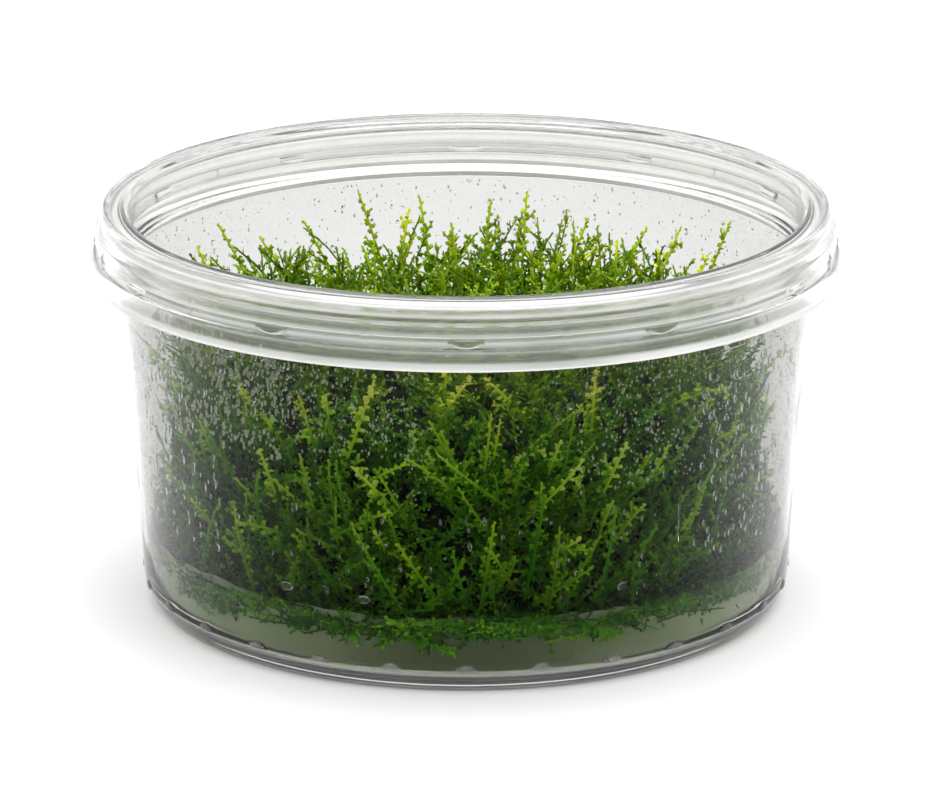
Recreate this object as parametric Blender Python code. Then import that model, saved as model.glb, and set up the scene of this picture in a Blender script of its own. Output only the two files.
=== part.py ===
"""Erect moss grown by tissue culture on a bed of nutrient gel in its clear round tub.

The tub is one thin moulded wall, turned about +Z, with small lugs and ribs round its rim and
base. The gel lies on its floor, with a hollow that holds the lower part of the moss. The moss
is one intergrown cushion, and each main shoot that stands on the cushion is a piece of its own.
The origin is the centre of the underside, +Z is up, and -Y is the front. Units are metres.
"""

import math

import bmesh
import bpy
from mathutils import Vector

TUB_HEIGHT = 0.0542
COLLAR_RADIUS = 0.0505
LIP_RADIUS = 0.0486
MOUTH_RADIUS = 0.0448
SHOULDER_RADIUS = 0.0463
BASE_RADIUS = 0.0431
WALL = 0.0007
FLOOR = 0.0008
FOOT_HEIGHT = 0.0007
COLLAR_BOTTOM = 0.0454
LUG_HEIGHT = 0.0495
LUG_WIDTH = 0.0047
NUB_HEIGHT = 0.0031
NUB_WIDTH = 0.0027
RIB_WIDTH = 0.0006
PROUD = 0.0003
TURN_STEPS = 40
RIM_LUGS = 12
BASE_NUBS = 28
MOON_STEPS = 3

GAP = 0.0003
GEL_LEVEL = 0.0098
GEL_CLIMB = 0.0010
GEL_STEPS = 28
GEL_RIM_RING = 3

CUSHION_RADIUS = 0.0400
CUSHION_BOTTOM = 0.0042
CUSHION_CROWN = 0.0265
CUSHION_SHOULDER = 4.0
CUSHION_FALL = 0.5
CUSHION_STEPS = 28
TUFT = 0.0006
SCALLOP = 0.00045
SOCKET_DEPTH = 0.0020
SOCKET_RADIUS = 0.00132
STEM_RADIUS = 0.0009
BRANCH_RADIUS = 0.0006
BRANCH_REACH = 0.0062
STEM_SIDES = 4
STEM_STEPS = 5
BRANCH_SIDES = 3

# Each shoot: where its tip reaches (x, y, z) and where it leaves the cushion (x, y), in
# millimetres, and how far its middle bows outwards, as a share of its length.
SHOOTS = {
    "shoot_front_01": ((-29.5, -29.0, 37.5), (-23.5, -27.0), 0.02),
    "shoot_front_02": ((-26.5, -33.0, 30.0), (-24.5, -30.5), 0.0),
    "shoot_front_03": ((-11.5, -36.0, 41.0), (-20.0, -33.5), 0.02),
    "shoot_front_04": ((-18.0, -31.0, 37.0), (-18.5, -29.0), 0.0),
    "shoot_front_05": ((-5.0, -29.5, 39.0), (-2.0, -29.0), 0.02),
    "shoot_front_06": ((0.5, -37.0, 41.0), (-5.0, -32.0), 0.06),
    "shoot_front_07": ((2.5, -35.0, 40.5), (10.0, -30.5), 0.08),
    "shoot_front_08": ((-5.0, -38.0, 31.5), (-2.0, -37.5), 0.0),
    "shoot_front_09": ((10.0, -38.5, 33.5), (1.0, -37.5), 0.0),
    "shoot_front_10": ((-14.5, -39.0, 29.5), (-6.0, -38.3), 0.0),
    "shoot_front_11": ((15.0, -39.0, 30.5), (4.5, -38.6), 0.0),
    "shoot_front_12": ((16.5, -35.0, 41.5), (17.0, -30.5), 0.04),
    "shoot_front_13": ((20.5, -36.0, 31.5), (16.8, -35.0), 0.0),
    "shoot_low_01": ((-11.5, -40.5, 21.0), (-10.5, -38.1), 0.0),
    "shoot_low_02": ((14.5, -40.0, 20.0), (10.5, -38.0), 0.0),
    "shoot_low_03": ((23.0, -36.0, 23.5), (19.5, -34.3), 0.0),
    "shoot_right_01": ((34.0, -25.5, 36.0), (24.0, -22.5), 0.06),
    "shoot_right_02": ((42.4, -8.0, 37.0), (36.5, -5.0), 0.0),
    "shoot_right_03": ((36.0, -22.5, 30.0), (29.5, -22.5), 0.0),
    "shoot_right_04": ((40.8, -12.0, 20.0), (35.3, -17.5), 0.0),
    "shoot_right_05": ((39.5, 9.5, 37.0), (34.0, 8.0), 0.02),
    "shoot_left_01": ((-41.6, -12.0, 38.0), (-33.5, -18.0), 0.0),
    "shoot_left_02": ((-36.6, 13.5, 44.0), (-31.5, 9.5), 0.02),
    "shoot_left_03": ((-39.5, 2.5, 33.0), (-36.0, 1.5), 0.0),
    "shoot_back_01": ((-34.0, 18.5, 46.0), (-27.5, 16.5), 0.04),
    "shoot_back_02": ((-28.5, 22.5, 43.0), (-22.5, 20.5), 0.04),
    "shoot_back_03": ((-22.5, 27.0, 44.0), (-17.0, 25.0), 0.04),
    "shoot_back_04": ((-15.0, 33.0, 46.5), (-10.5, 28.5), 0.04),
    "shoot_back_05": ((-6.5, 36.0, 45.0), (-4.5, 31.0), 0.04),
    "shoot_back_06": ((3.5, 36.5, 44.5), (2.0, 31.5), 0.04),
    "shoot_back_07": ((8.5, 32.5, 46.5), (8.0, 27.0), 0.04),
    "shoot_back_08": ((17.0, 28.5, 44.0), (13.5, 24.5), 0.04),
    "shoot_back_09": ((25.0, 25.0, 43.5), (20.0, 21.0), 0.04),
    "shoot_back_10": ((29.5, 21.5, 44.5), (25.5, 16.5), 0.04),
    "shoot_back_11": ((36.2, 17.5, 46.5), (31.0, 12.5), 0.04),
    "shoot_inner_01": ((-14.0, 12.0, 44.5), (-12.0, 9.0), 0.06),
    "shoot_inner_02": ((13.5, 11.0, 44.5), (10.5, 9.5), 0.06),
    "shoot_inner_03": ((-2.0, 20.5, 45.5), (-1.0, 16.5), 0.06),
    "shoot_inner_04": ((-20.0, -4.5, 43.0), (-15.5, -3.5), 0.06),
    "shoot_inner_05": ((21.0, -4.5, 43.5), (16.0, -3.0), 0.06),
    "shoot_inner_06": ((0.5, -11.5, 44.0), (1.0, -6.5), 0.06),
}


def clear_scene():
    """Takes every object out of the scene."""
    for obj in list(bpy.data.objects):
        bpy.data.objects.remove(obj, do_unlink=True)


def surface(name, colour, roughness, transmission=0.0, ior=1.45):
    """One Principled material with the given linear colour."""
    material = bpy.data.materials.new(name)
    material.use_nodes = True
    shader = material.node_tree.nodes["Principled BSDF"]
    shader.inputs["Base Color"].default_value = (*colour, 1.0)
    shader.inputs["Roughness"].default_value = roughness
    shader.inputs["Metallic"].default_value = 0.0
    shader.inputs["Transmission Weight"].default_value = transmission
    shader.inputs["IOR"].default_value = ior
    material.diffuse_color = (*colour, 1.0)
    return material


def add_object(name, mesh, material, smooth_angle=None):
    """Puts a mesh into the scene as one named object with one material."""
    obj = bpy.data.objects.new(name, mesh)
    bpy.context.scene.collection.objects.link(obj)
    mesh.materials.append(material)
    if smooth_angle is not None:
        mesh.shade_smooth()
        mesh.set_sharp_from_angle(angle=math.radians(smooth_angle))
    return obj


def helper(name, mesh):
    """A hidden shape that a Boolean joins to, or cuts from, a visible one."""
    obj = bpy.data.objects.new(name, mesh)
    bpy.context.scene.collection.objects.link(obj)
    obj.hide_render = True
    obj.display_type = "WIRE"
    return obj


def boolean(obj, other, operation):
    """Adds an exact Boolean with another object."""
    modifier = obj.modifiers.new(other.name, "BOOLEAN")
    modifier.operation = operation
    modifier.solver = "EXACT"
    modifier.use_self = True
    modifier.object = other


def mesh_of(name, points, faces):
    """A mesh from points and faces, with its faces turned outwards."""
    mesh = bpy.data.meshes.new(name)
    mesh.from_pydata(points, [], faces)
    shape = bmesh.new()
    shape.from_mesh(mesh)
    bmesh.ops.recalc_face_normals(shape, faces=shape.faces)
    shape.to_mesh(mesh)
    shape.free()
    return mesh


def turned(name, profile, steps, shift=None):
    """A closed body turned about Z.

    The profile runs from the axis to the axis, so its first and last points are poles. The
    optional shift gives the offset (outwards, upwards) of a point by its place in the profile
    and its angle.
    """
    points = [(0.0, 0.0, profile[0][1])]
    rings = profile[1:-1]
    for place, (radius, height) in enumerate(rings):
        for step in range(steps):
            angle = 2 * math.pi * step / steps
            out, rise = shift(place, angle) if shift else (0.0, 0.0)
            reach = radius + out
            points.append((reach * math.cos(angle), reach * math.sin(angle), height + rise))
    points.append((0.0, 0.0, profile[-1][1]))
    last = len(points) - 1
    faces = []
    for step in range(steps):
        after = (step + 1) % steps
        faces.append((0, 1 + step, 1 + after))
        for ring in range(len(rings) - 1):
            low = 1 + ring * steps
            high = low + steps
            faces.append((low + step, high + step, high + after, low + after))
        top = 1 + (len(rings) - 1) * steps
        faces.append((last, top + after, top + step))
    return mesh_of(name, points, faces)


def wall_radius(height):
    """Outer radius of the tub's side at a height: a straight draft from base to shoulder."""
    share = (height - NUB_HEIGHT) / (COLLAR_BOTTOM - NUB_HEIGHT)
    return BASE_RADIUS + 0.0004 + share * (SHOULDER_RADIUS - BASE_RADIUS - 0.0004)


def tub_profile():
    """The tub's section: up the outside, over the rim and down the inside, axis to axis."""
    lip_top = TUB_HEIGHT
    skirt_in = COLLAR_RADIUS - 0.0018
    ledge = COLLAR_BOTTOM + 0.0009
    floor_top = FOOT_HEIGHT + FLOOR
    outside = [
        (0.0, FOOT_HEIGHT),
        (BASE_RADIUS - 0.0048, FOOT_HEIGHT),
        (BASE_RADIUS - 0.0044, 0.0),
        (BASE_RADIUS - 0.0013, 0.0),
        (BASE_RADIUS - 0.0003, 0.0006),
        (BASE_RADIUS + 0.0002, 0.0018),
        (wall_radius(NUB_HEIGHT), NUB_HEIGHT),
        (wall_radius(COLLAR_BOTTOM), COLLAR_BOTTOM + 0.0006),
        (SHOULDER_RADIUS - 0.0008, ledge + 0.0008),
        (MOUTH_RADIUS + 0.0008, lip_top - 0.0012),
    ]
    rim = [
        (LIP_RADIUS - 0.0007, lip_top - 0.0012),
        (LIP_RADIUS - 0.0001, LUG_HEIGHT - 0.0004),
        (skirt_in + 0.0004, COLLAR_BOTTOM + 0.0022),
        (COLLAR_RADIUS - 0.0008, COLLAR_BOTTOM),
        (COLLAR_RADIUS, COLLAR_BOTTOM),
        (COLLAR_RADIUS, COLLAR_BOTTOM + 0.0008),
        (COLLAR_RADIUS - 0.0008, COLLAR_BOTTOM + 0.0025),
        (LIP_RADIUS + 0.0007, LUG_HEIGHT + 0.0001),
        (LIP_RADIUS + 0.0007, lip_top - 0.0026),
        (LIP_RADIUS, lip_top - 0.0020),
        (LIP_RADIUS, lip_top - 0.0005),
        (LIP_RADIUS - 0.0006, lip_top),
        (MOUTH_RADIUS + 0.0008, lip_top - 0.0003),
        (MOUTH_RADIUS, lip_top - 0.0011),
    ]
    inside = [
        (MOUTH_RADIUS, ledge + 0.0005),
        (SHOULDER_RADIUS - WALL - 0.0001, ledge - 0.0005),
        (wall_radius(NUB_HEIGHT) - WALL, NUB_HEIGHT + 0.0008),
        (BASE_RADIUS - 0.0018, floor_top),
        (0.0, floor_top),
    ]
    return outside + rim + inside


def half_moon(width, height):
    """Outline points (across, up): a straight side at zero and half an ellipse over it.

    A negative height makes one that hangs down.
    """
    turns = [math.pi * k / MOON_STEPS for k in range(MOON_STEPS + 1)]
    return [(width / 2 * math.cos(turn), height * math.sin(turn)) for turn in turns]


def radial_block(outline, radius, angle, base_height, points, faces):
    """Adds one small block that stands proud of the wall, narrower at its outer face."""
    first = len(points)
    out = Vector((math.cos(angle), math.sin(angle), 0.0))
    along = Vector((-math.sin(angle), math.cos(angle), 0.0))
    count = len(outline)
    for reach, shrink in ((radius - PROUD, 1.0), (radius + PROUD, 0.75)):
        for across, up in outline:
            spot = out * reach + along * (across * shrink)
            points.append((spot.x, spot.y, base_height + up * shrink))
    faces.append(tuple(first + k for k in range(count)))
    faces.append(tuple(first + count + k for k in reversed(range(count))))
    for k in range(count):
        after = (k + 1) % count
        faces.append((first + k, first + after, first + count + after, first + count + k))


def tub_mouldings():
    """The half-moon lugs and thin ribs under the lip, and the half-moon nubs round the base."""
    points, faces = [], []
    lug = half_moon(LUG_WIDTH, -0.0011)
    nub = half_moon(NUB_WIDTH, 0.0012)
    half_rib = RIB_WIDTH / 2
    rib = [(half_rib, 0.0), (half_rib, -0.0012), (-half_rib, -0.0012), (-half_rib, 0.0)]
    front = -math.pi / 2
    for k in range(RIM_LUGS):
        angle = front + 2 * math.pi * k / RIM_LUGS
        radial_block(lug, LIP_RADIUS + 0.0007, angle, LUG_HEIGHT, points, faces)
        between = angle + math.pi / RIM_LUGS
        radial_block(rib, LIP_RADIUS + 0.0007, between, LUG_HEIGHT, points, faces)
    for k in range(BASE_NUBS):
        angle = front + 2 * math.pi * k / BASE_NUBS
        radial_block(nub, wall_radius(NUB_HEIGHT), angle, NUB_HEIGHT, points, faces)
    return mesh_of("tub_mouldings", points, faces)


def make_tub():
    """The clear tub, one moulded wall with its mouldings joined on."""
    clear = surface("clear_polypropylene", (0.90, 0.92, 0.91), 0.08, 0.95, 1.49)
    tub = add_object("tub", turned("tub", tub_profile(), TURN_STEPS), clear, 30)
    boolean(tub, helper("tub_mouldings", tub_mouldings()), "UNION")
    return tub


def gel_edge(place, angle):
    """Raises the gel's rim where it climbs the wall, in slow uneven waves."""
    wave = 0.55 * math.sin(3 * angle + 0.8) + 0.45 * math.sin(7 * angle + 2.1)
    wave += 0.25 * math.sin(13 * angle)
    lift = {GEL_RIM_RING: 0.0005, GEL_RIM_RING + 1: 0.0003}.get(place, 0.0)
    return 0.0, lift * wave


def make_gel():
    """The nutrient gel: a disc on the tub's floor, hollowed for the moss."""
    floor_top = FOOT_HEIGHT + FLOOR
    bottom = floor_top + GAP
    inner_wall = wall_radius(GEL_LEVEL) - WALL - GAP
    hollow = CUSHION_RADIUS + GAP + 0.0002
    profile = [
        (0.0, bottom),
        (BASE_RADIUS - 0.0031, bottom),
        (BASE_RADIUS - 0.0020, bottom + 0.0002),
        (wall_radius(NUB_HEIGHT) - WALL - GAP, NUB_HEIGHT + 0.0010),
        (inner_wall, GEL_LEVEL + GEL_CLIMB),
        (inner_wall - 0.0007, GEL_LEVEL + 0.0002),
        (hollow, GEL_LEVEL),
        (hollow - 0.0010, CUSHION_BOTTOM + 0.0006),
        (hollow - 0.0045, CUSHION_BOTTOM - GAP - 0.0002),
        (0.0, CUSHION_BOTTOM - GAP - 0.0002),
    ]
    gel = surface("nutrient_gel", (0.62, 0.68, 0.60), 0.12, 0.9, 1.34)
    return add_object("gel", turned("gel", profile, GEL_STEPS, gel_edge), gel, 35)


def cushion_height(x, y):
    """Height of the cushion's top: a full dome, steep at its side, with lumps on its crown."""
    share = min(math.hypot(x, y) / CUSHION_RADIUS, 1.0)
    lumps = 0.0017 * math.sin(210 * x + 1.0) * math.cos(190 * y - 0.4)
    lumps += 0.0010 * math.sin(430 * x - 310 * y)
    inside = 1 - share**CUSHION_SHOULDER
    return GEL_LEVEL + 0.0015 + CUSHION_CROWN * inside**CUSHION_FALL + lumps * inside


def make_cushion():
    """The intergrown lower moss: a lumpy dome that stands in the gel's hollow."""
    underside = [(0.0, CUSHION_BOTTOM), (CUSHION_RADIUS - 0.0055, CUSHION_BOTTOM)]
    side = [
        (CUSHION_RADIUS - 0.0018, CUSHION_BOTTOM + 0.0014),
        (CUSHION_RADIUS - 0.0006, GEL_LEVEL),
    ]
    shares = (0.992, 0.96, 0.90, 0.81, 0.68, 0.52, 0.30, 0.0)
    top = [(CUSHION_RADIUS * share, 0.0) for share in shares]
    first_side = len(underside) - 1
    first_top = first_side + len(side)
    profile = underside + side + top
    profile[-1] = (0.0, cushion_height(0.0, 0.0))

    def tufted(place, angle):
        """Scallops the side into tufts and lifts the top to the cushion's height."""
        scallop = SCALLOP * (math.sin(11 * angle + 0.6) - 1)
        if place < first_side:
            return 0.0, 0.0
        if place < first_top:
            return scallop, 0.0
        radius = top[place - first_top][0]
        height = cushion_height(radius * math.cos(angle), radius * math.sin(angle))
        step = round(angle / (2 * math.pi) * CUSHION_STEPS)
        tuft = TUFT if (place + step) % 2 else -TUFT
        return scallop * radius / CUSHION_RADIUS, height + tuft

    green = surface("moss_cushion", (0.035, 0.09, 0.012), 0.8)
    mesh = turned("moss_cushion", profile, CUSHION_STEPS, tufted)
    cushion = add_object("moss_cushion", mesh, green)
    points, faces = [], []
    for _, foot, _ in SHOOTS.values():
        x, y = (value / 1000 for value in foot)
        top_height = cushion_height(x, y)
        low = top_height - SOCKET_DEPTH - GAP
        high = top_height + 2 * SOCKET_DEPTH
        tube([(x, y, low), (x, y, high)], [SOCKET_RADIUS] * 2, points, faces)
    boolean(cushion, helper("shoot_sockets", mesh_of("shoot_sockets", points, faces)), "DIFFERENCE")
    return cushion


def tube(path, radii, points, faces, sides=STEM_SIDES):
    """Adds a closed tube along a path, one ring at each point, with its own radius."""
    first = len(points)
    path = [Vector(spot) for spot in path]
    for place, spot in enumerate(path):
        before = path[max(place - 1, 0)]
        after = path[min(place + 1, len(path) - 1)]
        heading = (after - before).normalized()
        across = heading.cross(Vector((0.13, 0.97, 0.21))).normalized()
        other = heading.cross(across)
        for side in range(sides):
            angle = 2 * math.pi * side / sides
            swing = across * math.cos(angle) + other * math.sin(angle)
            points.append(tuple(spot + swing * radii[place]))
    for ring in range(len(path) - 1):
        low = first + ring * sides
        for side in range(sides):
            after = (side + 1) % sides
            faces.append((low + side, low + after, low + sides + after, low + sides + side))
    faces.append(tuple(first + side for side in reversed(range(sides))))
    top = first + (len(path) - 1) * sides
    faces.append(tuple(top + side for side in range(sides)))


def shoot_path(tip, foot, bow):
    """The stem's course: upright out of its socket, then a curve that bows out to the tip."""
    tip = Vector(tip) / 1000
    x, y = (value / 1000 for value in foot)
    foot_height = cushion_height(x, y)
    start = Vector((x, y, foot_height + 0.0012))
    lean = Vector((tip.x, tip.y, 0.0)).normalized()
    length = (tip - start).length
    middle = (start + tip) / 2 - lean * bow * length + Vector((0, 0, bow * length))
    course = [Vector((x, y, foot_height - SOCKET_DEPTH))]
    steps = STEM_STEPS
    for k in range(steps + 1):
        share = k / steps
        course.append(
            start * (1 - share) ** 2 + middle * 2 * share * (1 - share) + tip * share**2
        )
    return course


def distance(a_start, a_end, b_start, b_end):
    """The least distance between two segments, by a few turns of alternate projection."""
    spot = (a_start + a_end) / 2
    for _ in range(24):
        other = nearest(spot, b_start, b_end)
        spot = nearest(other, a_start, a_end)
    return (spot - other).length


def nearest(spot, start, end):
    """The point of a segment that is nearest to a spot."""
    run = end - start
    share = (spot - start).dot(run) / run.length_squared
    return start + run * min(max(share, 0.0), 1.0)


def side_branches(course):
    """Short branches by turns on the two sides of a stem, in the plane that faces outwards."""
    branches = []
    out = Vector((course[-1].x, course[-1].y, 0.0)).normalized()
    length = (course[-1] - course[1]).length
    for number, place in enumerate((3, 4, 5)):
        heading = (course[place + 1] - course[place]).normalized()
        side = heading.cross(out).normalized() * (1 if number % 2 else -1)
        reach = min(0.30 * length, BRANCH_REACH) * (1.10 - 0.20 * number)
        start = course[place]
        end = start + (side * 0.80 + heading * 0.60) * reach
        branches.append((start, end))
    return branches


def fits(start, end, taken):
    """Whether a branch stays clear of its neighbours, the cushion and the tub's wall."""
    run = end - start
    for share in (0.5, 1.0):
        spot = start + run * share
        if math.hypot(spot.x, spot.y) > wall_radius(spot.z) - WALL - 2 * BRANCH_RADIUS:
            return False
        if spot.z < cushion_height(spot.x, spot.y) + TUFT + 2 * BRANCH_RADIUS:
            return False
    clear = STEM_RADIUS + BRANCH_RADIUS + 2 * GAP
    return all(distance(start, end, a, b) > clear for a, b in taken)


def make_shoots():
    """Each main shoot with its side branches, one object each, standing in its socket."""
    green = surface("moss_shoot", (0.11, 0.26, 0.02), 0.6)
    stem_radii = [STEM_RADIUS * share for share in (0.95, 1.0, 0.66, 0.92, 0.60, 0.80, 0.30)]
    courses = {name: shoot_path(*values) for name, values in SHOOTS.items()}
    stems = {name: list(zip(course, course[1:])) for name, course in courses.items()}
    added = {name: [] for name in SHOOTS}
    for name, course in courses.items():
        points, faces = [], []
        tube(course, stem_radii, points, faces)
        shoot = add_object(name, mesh_of(name, points, faces), green)
        points, faces = [], []
        taken = [pair for other in SHOOTS if other != name for pair in stems[other] + added[other]]
        for start, end in side_branches(course):
            if not fits(start, end, taken):
                continue
            added[name].append((start, end))
            path = [start, start.lerp(end, 0.6), end]
            radii_here = [BRANCH_RADIUS * share for share in (0.5, 1.0, 0.25)]
            tube(path, radii_here, points, faces, BRANCH_SIDES)
        if faces:
            branches = helper(name + "_branches", mesh_of(name + "_branches", points, faces))
            boolean(shoot, branches, "UNION")


clear_scene()
make_tub()
make_gel()
make_cushion()
make_shoots()
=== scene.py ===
"""Looks of erect moss grown by tissue culture on a bed of nutrient gel, in its open clear tub.

The sections follow the tub as it is filled: the tub, the gel poured into it, the old mass of moss,
the shoots that stand out of it, and the condensation on the wall. Lengths are in millimetres
until a mesh is made, and a mesh is in metres.
"""

import bpy
import numpy as np
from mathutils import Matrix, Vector


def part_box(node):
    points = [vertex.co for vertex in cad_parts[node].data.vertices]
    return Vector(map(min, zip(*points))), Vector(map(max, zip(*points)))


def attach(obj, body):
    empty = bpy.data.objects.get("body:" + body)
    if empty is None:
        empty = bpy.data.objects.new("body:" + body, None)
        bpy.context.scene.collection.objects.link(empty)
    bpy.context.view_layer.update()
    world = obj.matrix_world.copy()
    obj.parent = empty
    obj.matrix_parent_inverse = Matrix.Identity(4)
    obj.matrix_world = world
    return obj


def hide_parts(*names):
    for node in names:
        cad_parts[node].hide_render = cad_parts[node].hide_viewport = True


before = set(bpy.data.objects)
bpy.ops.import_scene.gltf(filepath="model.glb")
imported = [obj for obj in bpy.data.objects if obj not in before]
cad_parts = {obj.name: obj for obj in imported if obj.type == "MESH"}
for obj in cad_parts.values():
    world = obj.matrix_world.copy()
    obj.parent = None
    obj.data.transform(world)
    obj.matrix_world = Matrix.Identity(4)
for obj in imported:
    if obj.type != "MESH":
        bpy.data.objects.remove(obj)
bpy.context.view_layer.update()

# The tub. One clear polypropylene moulding, injected hot into a polished steel mould: a thin
# drafted wall, a lip with two beads over a hanging skirt, half-moon lugs and thin ribs under the
# skirt, and a ring of small half-moon nubs that holds stacked tubs apart.

MM = 0.001
COLLAR_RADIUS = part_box("tub")[1].x / MM
TUB_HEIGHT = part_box("tub")[1].z / MM
FRONT = -np.pi / 2


def srgb(code):
    """A linear colour with full alpha from an sRGB hex code."""
    parts = np.array([int(code[k:k + 2], 16) for k in (1, 3, 5)]) / 255
    linear = np.where(parts <= 0.04045, parts / 12.92, ((parts + 0.055) / 1.055) ** 2.4)
    return (*linear.tolist(), 1.0)


def add_node(tree, kind, inputs=None, output=0, **settings):
    """Adds one shader node, its inputs values or sockets to link from, and gives an output."""
    node = tree.nodes.new("ShaderNode" + kind)
    for name, value in settings.items():
        setattr(node, name, value)
    for name, value in (inputs or {}).items():
        if isinstance(value, bpy.types.NodeSocket):
            tree.links.new(value, node.inputs[name])
        else:
            node.inputs[name].default_value = value
    return node.outputs[output]


def set_stops(ramp, stops):
    """Sets the stops of a socket's colour ramp: rising places, each with a colour."""
    elements = ramp.node.color_ramp.elements
    for k, (place, colour) in enumerate(stops):
        stop = elements[k] if k < 2 else elements.new(1.0)
        stop.position = place
        stop.color = colour


def new_material(name, **values):
    """A material with one Principled shader, whose constant values are set on its sockets."""
    material = bpy.data.materials.new(name)
    material.use_nodes = True
    tree = material.node_tree
    shader = tree.nodes["Principled BSDF"]
    for socket, value in values.items():
        shader.inputs[socket.replace("_", " ")].default_value = value
    return material, tree, shader


def new_piece(name, spots, faces, material, smooth=True):
    """A mesh object from points in millimetres and arrays of faces, one for each corner count."""
    mesh = bpy.data.meshes.new(name)
    corners = [face for part in faces for face in part.tolist()]
    mesh.from_pydata(np.asarray(spots) * MM, [], corners, shade_flat=not smooth)
    mesh.materials.append(material)
    piece = bpy.data.objects.new(name, mesh)
    bpy.context.scene.collection.objects.link(piece)
    return piece


# The most of a run beside a corner that a fillet takes up.
FILLET_SHARE = 0.45


def rounded(corners):
    """A profile from corners (radius, height, fillet, rows on the next run), the last two optional.

    A fillet joins the points at its radius from the corner by a quadratic curve that bends to it.
    """
    points = []
    for place, corner in enumerate(corners):
        radius, height, fillet, rows = (*corner, 0, 0)[:4]
        spot = np.array((radius, height))
        if fillet > 0:
            before = np.array(corners[place - 1][:2]) - spot
            after = np.array(corners[place + 1][:2]) - spot
            run_in, run_out = np.linalg.norm(before), np.linalg.norm(after)
            reach = min(fillet, FILLET_SHARE * run_in, FILLET_SHARE * run_out)
            start = spot + before / run_in * reach
            end = spot + after / run_out * reach
            for share in (0.0, 0.5, 1.0):
                blend = (1 - share) ** 2 * start + 2 * share * (1 - share) * spot
                points.append(blend + share**2 * end)
        else:
            points.append(spot)
        if rows:
            last = points[-1]
            ahead = np.array(corners[place + 1][:2]) - last
            points += [last + ahead * k / (rows + 1) for k in range(1, rows + 1)]
    return np.array(points)


def ease(value):
    """A smooth step: 0 below 0, 1 above 1, three squared minus two cubed between."""
    share = np.clip(value, 0, 1)
    return share * share * (3 - 2 * share)


def polar(radius, angle, height):
    """Points at a radius from the tub's axis, an angle round it and a height."""
    x, y = radius * np.cos(angle), radius * np.sin(angle)
    return np.stack(np.broadcast_arrays(x, y, height), axis=-1)


def ring_walls(low, steps):
    """Quads from rings of points to the rings after them, by the number of each ring's first point."""
    here = np.arange(steps)
    after = (here + 1) % steps
    low = low[:, None]
    walls = np.stack([low + here, low + after, low + steps + after, low + steps + here], axis=-1)
    return walls.reshape(-1, 4)


def turn(profile, steps, shift):
    """A closed skin: each profile point (radius, height) carried round the axis.

    Its first and last points are poles on the axis. The shift takes arrays of radius, height and
    angle, and gives the first two back changed.
    """
    angle = np.linspace(0, 2 * np.pi, steps, endpoint=False)
    radius, height = (np.repeat(profile[1:-1, k:k + 1], steps, axis=1) for k in (0, 1))
    radius, height = shift(radius, height, angle)
    rings = polar(radius, angle, height).reshape(-1, 3)
    spots = np.concatenate([[(0, 0, profile[0, 1])], rings, [(0, 0, profile[-1, 1])]])
    quads = ring_walls(1 + np.arange(len(radius) - 1) * steps, steps)
    around = np.arange(steps)
    beyond = (around + 1) % steps
    top = 1 + (len(radius) - 1) * steps
    first = np.stack([0 * around, 1 + beyond, 1 + around], axis=-1)
    last = np.stack([0 * around + len(spots) - 1, top + around, top + beyond], axis=-1)
    return spots, [quads, first, last]


RIM_LUGS = 12
BASE_NUBS = 28
TURN_STEPS = RIM_LUGS * BASE_NUBS * 2
NUB_FOOT = 3.05
# The inner face of the wall is straight between these two (radius, height).
WALL_FOOT = (42.95, 3.6)
WALL_TOP = (45.55, 45.6)
FLOOR_TOP = 1.5
# The half-moon's soft edge, and its soft straight side.
MOON_EDGE = 0.28
MOON_FOOT = 0.14

TUB_SECTION = rounded([
    (0, 0.7), (38.3, 0.7, 0.25), (38.7, 0.0, 0.15), (41.8, 0.0, 0.6), (43.05, 1.4, 0.9),
    (43.45, 2.9, 0.1), (43.62, NUB_FOOT, 0.08, 9), (43.72, 4.5, 0, 4), (46.15, 42.8, 0.05),
    (46.23, 43.0, 0.05, 1), (46.35, 45.9, 0.3), (45.55, 47.1, 0.3, 1), (45.6, 53.1, 0.4),
    (47.8, 53.1, 0.4), (48.05, 51.6, 0.2), (48.65, 51.0, 0.2), (48.7, 48.6, 0.4),
    (49.7, 45.4, 0.12), (COLLAR_RADIUS, 45.4, 0.3), (COLLAR_RADIUS, 46.3, 0.3), (49.75, 48.2, 0.12),
    (49.3, 48.3, 0.08, 8), (49.3, 49.6, 0.08), (49.5, 49.7, 0.12, 2), (49.35, 51.6, 0.25),
    (48.65, 52.15, 0.15), (48.6, 53.75, 0.3), (48.1, TUB_HEIGHT, 0.3), (47.45, 53.85, 0.25),
    (46.25, 53.8, 0.25), (45.6, 54.1, 0.25), (44.85, 53.6, 0.4), (44.8, 50.3, 0.3),
    (44.95, 49.8, 0.3), (44.9, 47.9, 0.6), (44.6, 47.2, 0.5), (44.65, 46.5, 0.5),
    (*WALL_TOP, 0.8, 5), (*WALL_FOOT, 1.2), (41.4, FLOOR_TOP, 1.1), (0, FLOOR_TOP),
])


def half_moon(across, up, half_width, height):
    """1 inside a half-moon and 0 outside: half an ellipse that stands on its straight side."""
    span = np.hypot(across / half_width, up / height)
    return ease((1 - span) * height / MOON_EDGE) * ease(up / MOON_FOOT + 0.5)


# Where the marks stand, in radius and height, and how far they stand out.
SKIRT_RADIUS = 49.0
BASE_RING = (43.4, 44.4)
LUG_TOP = 49.35
LUG_SIZE = (2.35, 1.2)
LUG_RELIEF = 0.42
RIB_HALF_WIDTH = 0.42
RIB_FOOT = 48.2
RIB_TOP = 50.1
RIB_RELIEF = 0.30
NUB_SIZE = (1.35, 1.15)
NUB_RELIEF = 0.22


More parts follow.
